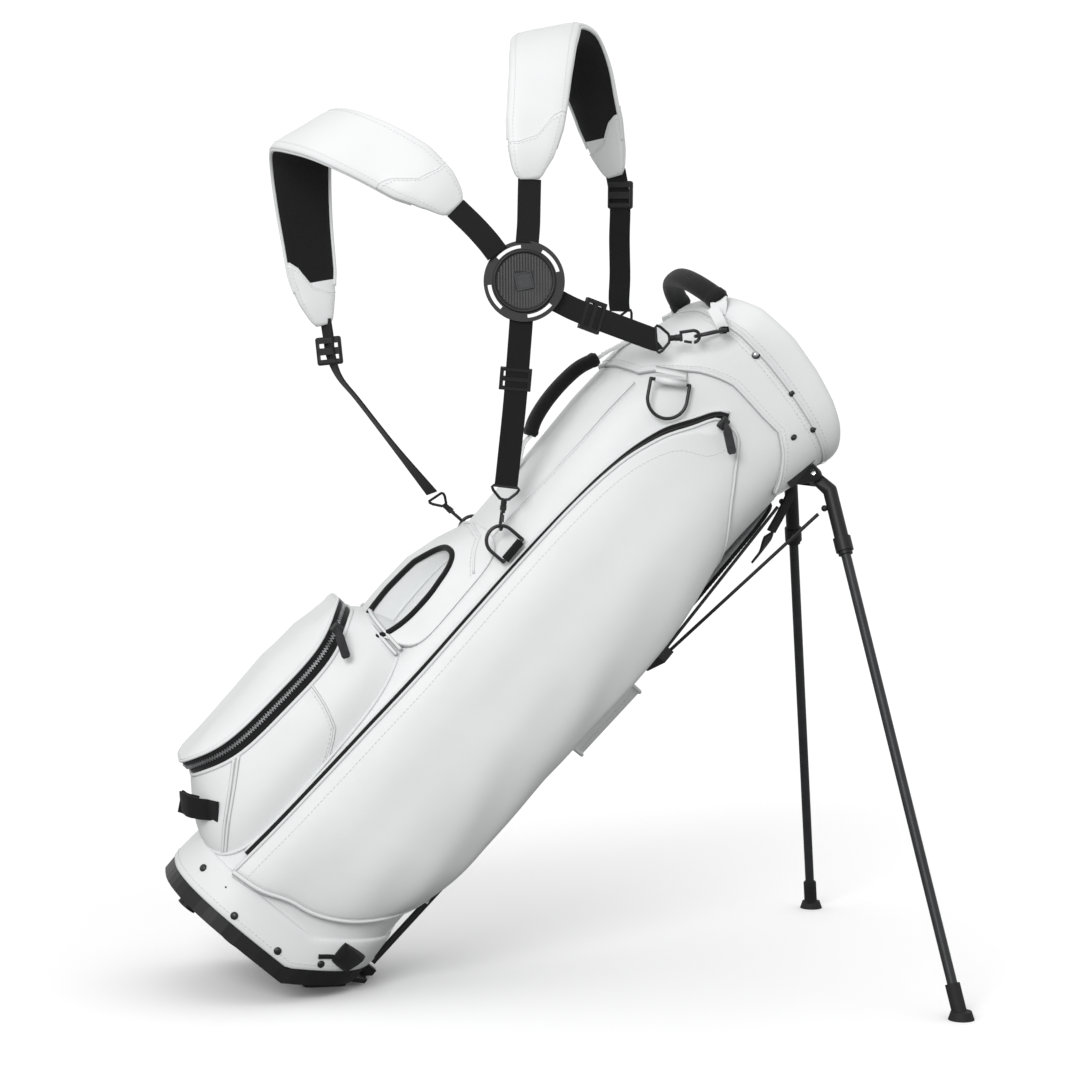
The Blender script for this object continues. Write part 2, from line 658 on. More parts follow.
def long_zips():
    """Zip tape, coil and the piping on the tube's side of each long zip."""
    ua = edge_curve(ZIP_LINE, 160)
    ua = ua[ua[:, 0] > 80]
    u = ua[:, 0]
    p = skin(u, ua[:, 1], 3.0)
    p[:, 0] -= 3.4 * np.interp(u, [60, 500, 640, 720, 780], [1, 0.8, 0.8, 0.9, 0.3])
    p[:, 2] += np.interp(u, [60, 560, 640, 720, 780], [0, 0, 1.2, 3.2, 4.0])
    path, normal = to_world(p), side_normal(ua)
    half = np.interp(u, [60, 110, 160, 340, 520, 600, 660, 705, 740, 770],
                     [6.0, 5.6, 5.2, 4.6, 3.4, 2.4, 2.8, 4.4, 5.0, 4.0])[:, None] * MM
    box = np.array([[1, 0.5], [1, -0.5], [-1, -0.5], [-1, 0.5]])
    section = box * np.stack([half, np.full_like(half, 1.6 * MM)], -1)
    across = np.cross(frames(path, normal)[0], normal)
    for side, sign in BOTH:
        sweep(f"{side}_zip_tape", flip(path, sign), flip(across, sign), section, "zip", smooth=False,
              replaces=("zips",) if sign < 0 else ())
    rope_pair("zip_coil", path + normal * 1.0 * MM, 0.9, "paint", count=8)
    forward = np.sign(np.sum(across * turned([1, 0, 0]), -1, keepdims=True))
    rope_pair("zip_piping", path - across * (half + 1.4 * MM) * forward - normal * 0.8 * MM, 1.6, "piping")


long_zips()


def panel_seams():
    """Sewn seams on the tube in front of and behind the side pockets."""
    seams = [[(-96, 380), (-93, 470), (-90, 560), (-86, 650), (-82, 745)],
             [(121, 474), (108, 400), (106, 330), (105, 227), (110, 150)],
             [(100, 60), (103, 90), (106, 120)]]
    rows = []
    for k, seam in enumerate(seams):
        path, normal = on_side(seam, 0.6, 90)
        rope_pair(f"panel_seam_{k}", path - normal * 0.7 * MM, 1.3, "piping", count=8)
        rows.append(beside(path, normal))
    stitch_pair("seam_stitches", rows, radius=0.34)


panel_seams()

# ---------------------------------------------------------------- collar and rim
# angle and height along the yoke's lower edge
YOKE = np.array([[180, 742], [205, 744], [222, 748], [236, 765], [252, 790], [266, 806], [280, 811],
                 [292, 800], [302, 788], [311, 777], [317, 768], [320, 766], [323, 771], [328, 790],
                 [333, 815], [338, 822], [345, 824], [360, 824]])


def yoke_foot(a):
    """Height of the yoke's lower edge at an angle; the far side mirrors the near one."""
    a = np.where(np.asarray(a) < 180, 360 - np.asarray(a), a)
    return np.interp(a, YOKE[:, 0], YOKE[:, 1])


def collar_shell():
    """Leather yoke under the rim, with its shaped lower edge piped and topstitched."""
    a = np.arange(0, 360, 2.0)
    t = np.linspace(0, 1, 26)[:, None]
    foot = yoke_foot(a)
    u = foot + (RIM_U - 22 - foot) * t
    outer, inner = skin(u, a, 1.0 + 2.2 * rise(t, 0.06)), skin(u, a, 0.3)
    shell("yoke", to_world(outer), to_world(inner), "leather", close_cols=True, replaces=("collar",))
    rope("yoke_piping", to_world(skin(foot, a, 2.4)), 1.7, "piping", closed=True)
    rope("yoke_groove", to_world(skin(foot, a, 1.0)), 2.4, "seam", closed=True)
    ring = np.append(a, 360.0)
    stitches("yoke_stitches", [sewn_line(yoke_foot(ring) + 5.5, ring, 3.4)], radius=0.36)


collar_shell()


def rim_lip():
    """Padded roll round the mouth: a section of (height above the rim, distance outside the tube)."""
    profile = smooth_path([(-27, 2.8), (-24, 5.0), (-16, 6.6), (-6, 6.4), (2, 4.2), (6.5, -1.5), (5, -7.5),
                           (-2, -11), (-14, -12), (-26, -11), (-28, -6)], 40, closed=True)
    a = np.arange(0, 360, 2.5)
    puff = 1 + 0.05 * waviness(a * 3, a, 21, 1.0)
    rings = skin(RIM_U + profile[:, 0], a[:, None], profile[:, 1] * puff[:, None])
    lip = piece("rim_lip", to_world(rings), grid_faces(len(a), len(profile), True, True), "leather")
    rope("lip_piping", to_world(skin(RIM_U - 27.5, a, 3.6)), 1.5, "piping", closed=True)
    rope("lip_groove", to_world(skin(RIM_U - 28.5, a, 2.6)), 1.9, "seam", closed=True)
    ring = np.append(a, 360.0)
    rows = [sewn_line(RIM_U - drop, ring, out) for drop, out in ((31.5, 3.5), (35.5, 3.5), (22, 6.3))]
    stitches("lip_stitches", rows, radius=0.36)


rim_lip()


def stud(name, w, v, off, radius, material, sign, ring=None):
    """Domed rivet head with an optional flatter ring round it."""
    u, a = find(w, v)
    centre, normal = to_world(skin(u, a, off)), side_normal(np.array([[u, a]]))[0]
    side = unit(np.cross(normal, [0, 0, 1.0]))
    up = np.cross(side, normal)
    profile = [(0.02, 2.3), (0.45, 2.1), (0.8, 1.5), (0.97, 0.7), (1.0, 0.0), (1.0, -1.2)]
    angle = full_turn(24)[:, None]
    circle = side * np.cos(angle) + up * np.sin(angle)
    faces = grid_faces(len(profile), 24, False, True) + [cap(24), cap(24, len(profile) - 1)]
    parts = [("head", material, radius, 1.0)] + ([("ring", ring, radius * 1.45, 0.45)] if ring else [])
    for label, kind, wide, high in parts:
        rings = np.stack([centre + (normal * h * high + circle * share * wide) * MM for share, h in profile])
        piece(f"{name}_{label}", flip(rings, sign), faces, kind)


for side_name, side_sign in BOTH:
    for k, (w, v) in enumerate([(-98, 40), (-45, 25), (14, 25), (60, 42)]):
        stud(f"{side_name}_base_rivet_{k}", w, v, 3.0, 4.3, "paint", side_sign)
    for k, (w, v, kind, ring) in enumerate([(-2, 852, "silver", "paint"), (55, 846, "paint", None),
                                            (99, 833, "paint", None)]):
        stud(f"{side_name}_collar_rivet_{k}", w, v, 3.4, 3.6, kind, side_sign, ring)
    stud(f"{side_name}_snap", 88, 812, 3.4, 2.6, "gun", side_sign, "paint")
    stud(f"{side_name}_pin_hole", -70, 42, 2.4, 1.0, "paint", side_sign)
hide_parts("rivets")

# ---------------------------------------------------------------- ball pocket and its zipped lid
ZIP_FOOT, ZIP_HEAD = np.array([-172.0, 96.0]), np.array([-153.0, 360.0])
ZIP_MID_U, ZIP_HALF_U, ZIP_HALF_Y = 231.0, 123.0, 88.0
LOOP = full_turn(144)
ZIP_RUN = ZIP_HEAD - ZIP_FOOT
OUTWARD = unit(np.array([-ZIP_RUN[1], 0, ZIP_RUN[0]]))
POCKET_MID = np.array([-118, 0, 222.0])


def zip_loop(scale=1.0, out=0.0):
    """Closed line of the ball pocket's zip, scaled about its middle and moved out from the bag."""
    x, y = spow(np.cos(LOOP), 2 / 3.6), spow(np.sin(LOOP), 2 / 3.8)
    u = ZIP_MID_U + ZIP_HALF_U * scale * x
    plane = ZIP_FOOT[0] + (u - ZIP_FOOT[1]) * ZIP_RUN[0] / ZIP_RUN[1]
    side = np.abs(y) ** 4 * (1 - np.abs(x) ** 6)
    w = plane + (8 * side - 9 * (1 - side)) * scale ** 3
    return np.stack([w, ZIP_HALF_Y * scale * y, u], -1) + OUTWARD * out


def pocket_base():
    """Closed line where the ball pocket's walls are sewn to the tube."""
    x, y = spow(np.cos(LOOP), 2 / 4.5), spow(np.sin(LOOP), 2 / 4.5)
    u = 214 + np.where(x > 0, 160, 156) * x - 26 * np.abs(y) ** 3 * np.clip(x, 0, 1) - 4 * np.abs(y) ** 3
    return skin(u, 180 - 57 * y, -1.5)


def pocket_walls():
    """Grid of bag points on the pocket's walls, from the zip down to the tube."""
    start, end = zip_loop(1.012, -11.0), pocket_base()
    t = np.linspace(0, 1, 30)[:, None, None]
    x, y = np.cos(LOOP), np.sin(LOOP)
    swell = np.stack([0 * x, 7 * spow(y, 0.6), 7 * spow(x, 0.6)], -1)
    fold = waviness(LOOP[None] * 60, t[..., 0] * 90, 31, 2.4)[..., None] * swell / 7
    ease = 1 - (1 - t) ** 1.25
    return start * (1 - ease) + end * ease + (swell + fold) * np.sin(np.pi * t) ** 0.8


WALLS = pocket_walls()


def wall_line(pairs, lift):
    """Line on the pocket's near wall through (share of the way round, share of the way down) pairs."""
    path = smooth_path(pairs, 70)
    grid = to_world(WALLS)
    normal = unit(np.cross(np.gradient(grid, axis=1), np.gradient(grid, axis=0)))
    mid = grid.reshape(-1, 3).mean(0)
    normal = normal * np.sign(np.sum(normal * (grid - mid), -1, keepdims=True) + 1e-9)
    col, row = path[:, 0] * len(LOOP), path[:, 1] * (len(WALLS) - 1)

    def sample(field):
        c0, r0 = np.floor(col).astype(int), np.clip(np.floor(row).astype(int), 0, len(WALLS) - 2)
        fc, fr = (col - c0)[:, None], (row - r0)[:, None]
        a, b = field[r0, c0 % len(LOOP)], field[r0, (c0 + 1) % len(LOOP)]
        c, d = field[r0 + 1, c0 % len(LOOP)], field[r0 + 1, (c0 + 1) % len(LOOP)]
        return (a * (1 - fc) + b * fc) * (1 - fr) + (c * (1 - fc) + d * fc) * fr

    n = unit(sample(normal))
    return sample(grid) + n * lift * MM, n


def pocket_body():
    """The ball pocket's walls, as a closed sheet."""
    inner = WALLS + unit(POCKET_MID - WALLS) * 3.5
    body = shell("ball_pocket_body", to_world(WALLS), to_world(inner), "leather", close_cols=True,
                 replaces=("ball_pocket",))


def pocket_lid():
    """The lid: a short upright edge that turns into a padded, gently waved face."""
    edge = [7.0, 8.2, 9.6]
    face = 1 - 0.97 * np.linspace(0.012, 1, 30) ** 1.4
    scale = np.concatenate([[1.0, 1.0, 0.998], face, [0.012, 0.004, 0.001]])
    rows = []
    for k, share in enumerate(scale):
        ring = zip_loop(share)
        height = np.interp(ring[:, 2], [106, 180, 250, 300, 330, 345, 354], [14, 23, 29, 26, 17, 11, 9.6])
        swell = edge[k] if k < 3 else edge[-1] + (height - edge[-1]) * (1 - share ** 3.2) ** (1 / 2.2)
        rows.append(ring + OUTWARD * np.reshape(swell, (-1, 1)))
    outer = np.stack(rows)
    wave = waviness(outer[..., 2], outer[..., 1], 41, 1.6) * np.clip(1 - scale, 0, 0.3)[:, None] / 0.3
    outer = outer + OUTWARD * wave[..., None]
    inner = outer - OUTWARD * 3.0
    inner[:3] = outer[:3] + unit(np.array([-165, 0, 227.0]) - outer[:3]) * 3.0
    lid = shell("ball_pocket_lid_cover", to_world(outer), to_world(inner), "leather", close_cols=True,
                body="ball_lid", replaces=("ball_pocket_lid",))


def pocket_zip():
    """Tapes, teeth and pipings round the ball pocket's opening."""
    out = unit(turned(OUTWARD))
    box = np.array([[1, 0.6], [1, -0.6], [-1, -0.6], [-1, 0.6]])
    for label, body, offset, half in (("lower", "bag", -5.9, 5.6), ("upper", "ball_lid", 4.0, 3.6)):
        path, section = to_world(zip_loop(1.0, offset)), box * [half * MM, 1.0 * MM]
        sweep(f"ball_zip_{label}_tape", path, out, section, "zip", True, smooth=False, body=body)
    path = smooth_path(to_world(zip_loop(1.012, -0.6)), 460, closed=True)
    t, s, n = frames(path, out, True)
    tooth = np.array([[x, y, z] for x in (-0.55, 0.55) for y in (-1.5, 1.5) for z in (-0.7, 1.1)]) * MM
    teeth = []
    for k, place in enumerate(path):
        place = place + s[k] * (0.8 if k % 2 else -0.8) * MM
        teeth.append(place + tooth @ np.stack([t[k], s[k], n[k]]))
    blocks("ball_zip_teeth", teeth, "silver")
    rope("ball_zip_piping", to_world(zip_loop(1.02, -12.2)), 2.3, "piping", closed=True)
    rope("ball_lid_piping", to_world(zip_loop(1.008, 8.2)), 1.5, "piping", closed=True, body="ball_lid")
    base = pocket_base()
    rope("ball_base_piping", to_world(base + radial(base) * 2.0), 2.0, "piping", closed=True)


def pocket_seams():
    """Piped seams down the near and far walls, and the thread beside them and below the zip."""
    corner = [(0.690, 0.02), (0.668, 0.25), (0.640, 0.5), (0.612, 0.75), (0.585, 0.98)]
    seams = {"cross": ([(0.767, 0.02), (0.762, 0.35), (0.756, 0.7), (0.75, 0.98)], 1.2),
             "corner": (corner, 1.7),
             "corner_low": ([(share - 0.01, down) for share, down in corner], 1.7)}
    rows = []
    for label, (pairs, radius) in seams.items():
        path, normal = wall_line(pairs, lift=0.2)
        rope_pair(f"wall_seam_{label}", path, radius, "piping", count=8)
        rope_pair(f"wall_groove_{label}", path - normal * 0.9 * MM, radius + 0.7, "seam", count=8)
        if label != "corner_low":
            line, out = beside(path, normal, 0.3)
            rows += [(flip(line, sign), flip(out, sign)) for _, sign in BOTH]
    stitches("wall_stitches", rows, radius=0.36)
    base = looped(to_world(zip_loop(1.022, -16.5)))
    out = unit(base - to_world(POCKET_MID))
    stitches("ball_body_stitches", [(base + out * 1.0 * MM, out)], radius=0.34)


for make in (pocket_body, pocket_lid, pocket_zip, pocket_seams):
    make()


# ---------------------------------------------------------------- bottle sleeve
def sleeve_off(u, a):
    """How far the sleeve stands off the tube at height u and angle a."""
    along = np.interp(u, [345, 372, 400, 440, 480, 505, 516], [29, 30, 30, 27, 15, 4, 0.6])
    across = rise(np.clip((234 - np.abs(a - 180) - 180) / 54, 0, 1), 0.75, 1.1)
    return 0.8 + along * across


def sleeve_outline(u, a, half_u, half_a, power_u, power_a):
    """Closed line of heights and angles round a middle u, a."""
    turn = full_turn(120)
    return np.stack([u + half_u * spow(np.sin(turn), power_u), a + half_a * spow(np.cos(turn), power_a)], -1)


SLEEVE_MOUTH = sleeve_outline(410, 202, 64, 17, 0.9, 0.75)
SLEEVE_EDGE = sleeve_outline(436, 180, 80, 54, 0.36, 0.36)


def sleeve_point(u, a):
    """Bag point on the sleeve at height u and angle a."""
    off = sleeve_off(u, a)
    return skin(u, a, off * 0.25, off)


def sleeve_cover():
    """The sleeve's leather between its mouth and its sewn edge; returns its outer and inner grids."""
    k = np.linspace(0, 1, 28)[:, None, None]
    ua = SLEEVE_MOUTH * (1 - k) + SLEEVE_EDGE * k
    soft = waviness(ua[..., 0], ua[..., 1], 51, 1.8) * np.sin(np.pi * k[..., 0])
    p = sleeve_point(ua[..., 0], ua[..., 1])
    outer = p + radial(p) * soft[..., None]
    inner = outer - radial(p) * 3.0
    inner[-1] = skin(ua[-1, :, 0], ua[-1, :, 1], 0.1)
    body = shell("bottle_sleeve_cover", to_world(outer), to_world(inner), "leather", close_cols=True,
                 replaces=("bottle_sleeve",))
    return outer, inner


def sleeve_lining(outer, inner):
    """The wall and back seen through the sleeve's mouth, and the binding round the mouth."""
    k = np.linspace(0, 1, 8)[:, None, None]
    wall = inner[0] * (1 - k) + skin(SLEEVE_MOUTH[:, 0], SLEEVE_MOUTH[:, 1], 0.8) * k
    k = np.linspace(0.1, 1, 9)[::-1, None, None]
    back = SLEEVE_MOUTH.mean(0) * (1 - k) + SLEEVE_MOUTH * k
    rows = to_world(np.concatenate([wall, skin(back[..., 0], back[..., 1], 0.9)]))
    away = unit(rows - to_world(outer[0]).mean(0))
    shell("sleeve_lining", rows, rows - 1.2 * MM * away, "leather", close_cols=True)
    ring = to_world(outer[0] - radial(outer[0]) * 1.0)
    sweep("sleeve_mouth_binding", ring, unit(ring - ring.mean(0)), disc(3.4 * MM, 3.0 * MM, 12, 0.8),
          "neoprene", True, replaces=("sleeve_binding",))


def sleeve_seams():
    """Piping along the sleeve's top and foot, and the thread below the top."""
    a = np.linspace(130, 230, 60)
    top = np.stack([np.interp(a, [130, 150, 180, 210, 230], [470, 506, 514, 506, 470]), a], -1)
    rope("sleeve_top_piping", to_world(sleeve_point(top[:, 0], top[:, 1])), 1.6, "piping")
    for k, drop in enumerate((0, 7)):
        line = sleeve_point(np.linspace(368, 357, 40) - drop, np.linspace(188, 227, 40))
        rope_pair(f"sleeve_foot_piping_{k}", to_world(line + radial(line) * 0.6), 1.7, "piping")
        rope_pair(f"sleeve_foot_groove_{k}", to_world(line - radial(line) * 0.8), 2.3, "seam")
    line = sleeve_point(top[:, 0] - 5, top[:, 1])
    stitches("sleeve_stitches", [(to_world(line + radial(line) * 0.8), side_normal(top))], radius=0.36)


sleeve_lining(*sleeve_cover())
sleeve_seams()


# ---------------------------------------------------------------- handles
def padded_grip(name, path, side, wide, thick, node):
    """Padded carrying grip: a full middle and two bound ends."""
    t = np.linspace(0, 1, len(path))
    full = 0.86 + 0.14 * rise(t, 0.10) * rise(1 - t, 0.10)
    bound = (np.abs(t - 0.035) < 0.022) | (np.abs(t - 0.965) < 0.022)
    full = np.where(bound, 1.06, full)
    section = disc(1, 1, 28, 0.85)[None] * np.stack([full * wide, full * thick], -1)[:, None]
    sweep(name, path, side, section * MM, "neoprene", replaces=(node,))


def strap_strip(name, points, halves, thick, material, count=40, **options):
    """Flat strap through points in metres, with half-width vectors; its edges are softly rounded."""
    both = smooth_path(np.concatenate([points, halves], -1), count)
    path, half = both[:, :3], both[:, 3:]
    width = np.linalg.norm(half, axis=-1)
    section = disc(1, 1, 20, 0.28)[None] * np.stack([width, np.full(count, thick * MM / 2)], -1)[:, None]
    return sweep(name, path, half, section, material, **options)


def rim_handle():
    """Curved grip across the spine side of the rim, and the leather tab at each of its ends."""
    bend, half, middle = 132, 47, np.array([24, 0, 875.0])
    angle = np.radians(np.linspace(180 - half, 180 + half, 90))
    arch = np.stack([bend * np.cos(angle), bend * np.sin(angle), 4 * np.cos((angle - np.pi) * 2)], -1)
    padded_grip("rim_handle", to_world(middle + arch), unit(turned([0.2, 0, 1.0])), 12, 8, "top_handle")
    end = middle + [bend * np.cos(angle[-1]), bend * np.sin(angle[-1]), 0]
    line = to_world(end + np.array([[1, 1.5, 0], [-1.5, -3, -3], [1, -7, -8], [6, -9.5, -15]]))
    halves = turned([[3, 0, 9], [4, 0, 8.5], [5, 0, 7.5], [5, 0, 6]])
    for side, sign in BOTH:
        strap_strip(f"{side}_rim_handle_tab", flip(line, sign), flip(halves, sign), 3.4, "leather")


def grab_handle():
    """Straight grip above the bottle sleeve, held by a stitched strap at each end."""
    grip = [(-120, 0, 634), (-127, 0, 652), (-130.5, 0, 676),
            (-130.5, 0, 702), (-127, 0, 728), (-118, 0, 750)]
    padded_grip("grab_handle", to_world(smooth_path(grip, 80)), (0, 1, 0), 13.5, 8, "grab_grip")
    straps = {"low": ([(-119, 0, 637), (-119, 0, 622), (-111.5, 0, 606), (-108, 0, 590)], ("grab_straps",)),
              "high": ([(-118, 0, 748), (-114, 0, 762), (-107, 0, 780), (-102, 0, 795)], ())}
    for label, (line, nodes) in straps.items():
        strap_strip(f"grab_strap_{label}", to_world(line), np.tile([[0, 11 * MM, 0]], (4, 1)), 2.6, "leather",
                    replaces=nodes)
        sewn = smooth_path(line, 30)[6:-2] + [-1.9, 0, 0]
        rows = [(to_world(sewn + [0, y, 0]), unit(turned([-1, 0, 0]))) for y in (-8.5, 8.5)]
        stitches(f"grab_strap_{label}_stitches", rows, radius=0.34)


rim_handle()
grab_handle()

# ---------------------------------------------------------------- shoulder straps
LEFT_PAD = [((133, -150, 853), (19, 0, 23)), ((111, -150, 874), (20, 0, 24)), ((84, -145, 892), (22, 0, 27)),
            ((46, -125, 915), (24, 0, 27)), ((9, -85, 935), (30, 0, 24)), ((-14, -35, 944), (34, 0, 22)),
            ((-19, 5, 936), (35, 0, 14)), ((-17, 35, 908), (34, 0, 4)), ((-13, 52, 870), (32, 0, 0)),
            ((-8, 60, 830), (30, 0, -2)), ((-1, 62, 780), (28, 0, -4)), ((10, 60, 735), (24, 0, -4))]
RIGHT_PAD = [((212, -152, 884), (28, 0, 0)), ((212, -152, 900), (29, 0, 0)), ((216, -150, 925), (31, 0, 2)),
             ((222, -142, 962), (33, 0, 4)), ((229, -122, 1003), (35, 0, 6)), ((238, -85, 1036), (38, 0, 8)),
             ((252, -35, 1055), (40, 0, 8)), ((280, 8, 1050), (36, -12, 8)), ((304, 36, 1024), (29, -20, 4)),
             ((320, 50, 988), (24, -22, 0)), ((334, 58, 946), (21, -19, 0)), ((346, 60, 907), (19, -17, 0))]


def shoulder_pad(name, route, node, lean):
    """Padded strap: leather top, bound edge, mesh underside and a stitched tongue over each end."""
    count, around = 120, 48
    both = smooth_path([np.concatenate([p, h]) for p, h in route], count) * MM
    path, half = both[:, :3], both[:, 3:]
    t, s, n = frames(path, half)
    n = n * np.sign(n[count // 2, 2])
    width = np.linalg.norm(half - t * np.sum(half * t, -1, keepdims=True), axis=-1)
    run = arc(path) / MM
    width = width * np.interp(np.minimum(run, run[-1] - run), [0, 3, 10, 28, 60], [0.38, 0.50, 0.64, 0.86, 1])
    z = np.linspace(0, 1, count)
    thick = 6.6 * MM * (0.35 + 0.65 * rise(z, 0.07) * rise(1 - z, 0.07))

    def crown(across):
        """The pad is a little thinner towards its edges."""
        return 1 - 0.28 * np.abs(across) ** 6

    angle = full_turn(around)
    x, y = spow(np.cos(angle), 0.55), spow(np.sin(angle), 0.7)
    soft = 1 + 0.03 * waviness(z[:, None] * 400, angle * 57, 61, 1.0)
    wide, high = 0.98 * x * width[:, None], y * crown(x) * thick[:, None] * soft
    pts = path[:, None] + s[:, None] * wide[..., None] + n[:, None] * high[..., None]
    faces = grid_faces(count, around, False, True) + [cap(around), cap(around, count - 1)]
    under = (angle > np.pi * 1.11) & (angle < np.pi * 1.89)
    middle = np.abs(np.arange(count - 1) - (count - 1) / 2) < (count - 1) / 2 - 12.75
    picks = np.append((middle[:, None] & under).ravel(), [False, False])
    pad = piece(name, pts, faces, ["leather", "mesh"], replaces=(node,), picks=picks)

    def at(ring, across, lift, face=1):
        """Point and normal on the pad at a ring, across from -1 to 1, on its top or underside."""
        ring, rings = np.clip(np.asarray(ring, float), 0, count - 1), np.arange(count)
        wide, deep = np.interp(ring, rings, width), np.interp(ring, rings, thick)
        level = (1 - np.abs(np.clip(across, -0.999, 0.999)) ** 3.6) ** 0.39 * crown(across)
        out = unit(look_up(ring, rings, n)) * face
        place = look_up(ring, rings, path) + unit(look_up(ring, rings, s)) * (across * wide)[:, None]
        return place + out * (deep * level + lift * MM)[:, None], out

    rows = [at(np.linspace(4, count - 5, 150), np.full(150, edge), 0.1) for edge in (-0.80, 0.80)]
    for label, edge in (("a", -0.95), ("b", 0.95)):
        line, _ = at(np.linspace(10, count - 11, 120), np.full(120, edge), 0.2, -1)
        rope(f"{name}_binding_{label}", line, 1.9, "piping", count=8)
    # tongues: leather caps over each end, top and underside, with a swept edge
    across = np.linspace(-1, 1, 41)
    tongue = np.interp(across, [-1, -0.6, 0.1, 0.55, 0.85, 1], [9, 9.5, 12, 18, 20, 20])[::lean]
    for end, start in (("hub", 0), ("tail", count - 1)):
        for where, face, share in (("top", 1, 1), ("under", -1, 0.9)):
            reach = tongue * share
            grid = [at(np.abs(start - reach * k), across * 0.97, 0.55, face) for k in np.linspace(0, 1, 16)]
            p, out = np.stack([g[0] for g in grid]), np.stack([g[1] for g in grid])
            shell(f"{name}_tongue_{end}_{where}", p + out * 0.5 * MM, p - out * 0.9 * MM, "leather")
            rope(f"{name}_tongue_edge_{end}_{where}", p[-1] + out[-1] * 0.1 * MM, 0.9, "piping", count=8)
            sewn = p + out * 0.6 * MM
            rows.append((sewn[-2], out[-2]))
            rows += [(sewn[1:-1, column], out[1:-1, column]) for column in (4, -5)]
    stitches(f"{name}_stitches", rows, radius=0.36, length=3.0, pitch=4.4)


shoulder_pad("left_strap_pad", LEFT_PAD, "shoulder_pad_left", -1)
shoulder_pad("right_strap_pad", RIGHT_PAD, "shoulder_pad_right", 1)


def webs():
    """Webbing from the strap hub and from the tails of both pads, with its half width in millimetres."""
    half = 12.5
    tail = [(0.5, -0.75, 0.3), (0.5, -0.75, 0.3), (0.42, -0.84, 0.22), (0.24, -0.96, 0.1), (0.2, -0.97, 0.04),
            (0.26, -0.95, 0.08), (0.5, -0.75, 0.3)]
    routes = {
        "hub_left": ([(176, -161, 805), (166, -160, 818), (152, -156, 834), (133, -151, 853)],
                     (0.7, 0, 0.72), half),
        "hub_right": ([(208, -161, 816), (210, -158, 836), (211, -155, 858), (212, -152.4, 884)],
                      (1, 0, -0.05), half),
        "hub_low": ([(202, -160, 738), (201, -156, 716), (198, -141, 650), (194, -126, 590),
                     (192, -119, 562), (191.4, -118, 556.5)], (1, -0.15, 0), half),
        "hub_top": ([(240, -160, 756), (262, -156, 746), (300, -145, 733), (349, -131.4, 716.8),
                     (354, -130.2, 716)], (0.36, 0.1, 0.93), half),
        "tail_left": ([(12, 60, 742), (15, 60, 722), (18, 60.5, 700), (28, 65, 676), (50, 74, 650),
                       (92, 92, 598), (138.5, 107, 542)], tail, 9),
        "tail_right": ([(346, 60, 914), (351, 60, 886), (352, 61, 868), (353, 70, 836), (358, 92, 796),
                        (362, 118, 768), (365, 127, 755)], (0.85, -0.5, 0.1), half),
    }
    for label, (pts, side, wide) in routes.items():
        pts = np.array(pts, float) * MM
        halves = np.broadcast_to(unit(np.array(side, float)) * wide * MM, pts.shape)
        nodes = ("webbing",) if label == "hub_low" else ()
        strap_strip(f"web_{label}", pts, halves, 1.9, "webbing", 60, replaces=nodes)


webs()


def hub_face():
    """Ribbed cap of the strap hub, with a plain square in its middle."""
    hub, out = np.array([205, -160, 776]) * MM, unit(np.array([-0.163, -0.985, 0.057]))
    x = unit(np.cross(np.cross(out, [1, 0, 0]), out))
    y = np.cross(out, x)

    def turned_piece(name, outline, profile, material, **options):
        """Rings of an outline at each (size, height) of a profile, closed at the last ring."""
        count = len(outline)
        rings = np.stack([hub + outline * size * MM + out * high * MM for size, high in profile])
        piece(name, rings, grid_faces(len(profile), count, False, True) + [cap(count)], material, **options)

    angle = full_turn(96)[:, None]
    rim = [(33.5, 2.6), (33.5, 4.6), (33.0, 5.4), (31.6, 5.6),
           (30.4, 5.2), (29.8, 4.3), (29.2, 4.2), (0.05, 4.2)]
    turned_piece("hub_cap_face", x * np.cos(angle) + y * np.sin(angle), rim, "moulded", replaces=("hub_cap",))
    ribs, ribbed, clear = [], 28.6, 10.4
    for c in 3.0 * np.arange(-9, 10):
        reach = math.sqrt(ribbed ** 2 - c ** 2)
        for low, high in [(-reach, reach)] if abs(c) > clear else [(-reach, -clear), (clear, reach)]:
            sides = (c - 0.85, c + 0.85)
            rib = np.array([[a, b, h] for a in sides for b in (low, high) for h in (4.0, 5.1)])
            ribs.append(hub + rib @ np.stack([x, y, out]) * MM)
    blocks("hub_ribs", ribs, "satin")
    turn = math.radians(12)
    u, v = x * math.cos(turn) + y * math.sin(turn), y * math.cos(turn) - x * math.sin(turn)
    square = np.array([(-1, -1), (1, -1), (1, 1), (-1, 1)]) @ np.stack([u, v])
    steps = [(9.6, 4.0), (9.6, 5.3), (9.1, 5.7), (7.6, 5.7), (7.3, 5.3), (0.05, 5.3)]
    turned_piece("hub_square", square, steps, "tube", smooth=False)


hub_face()

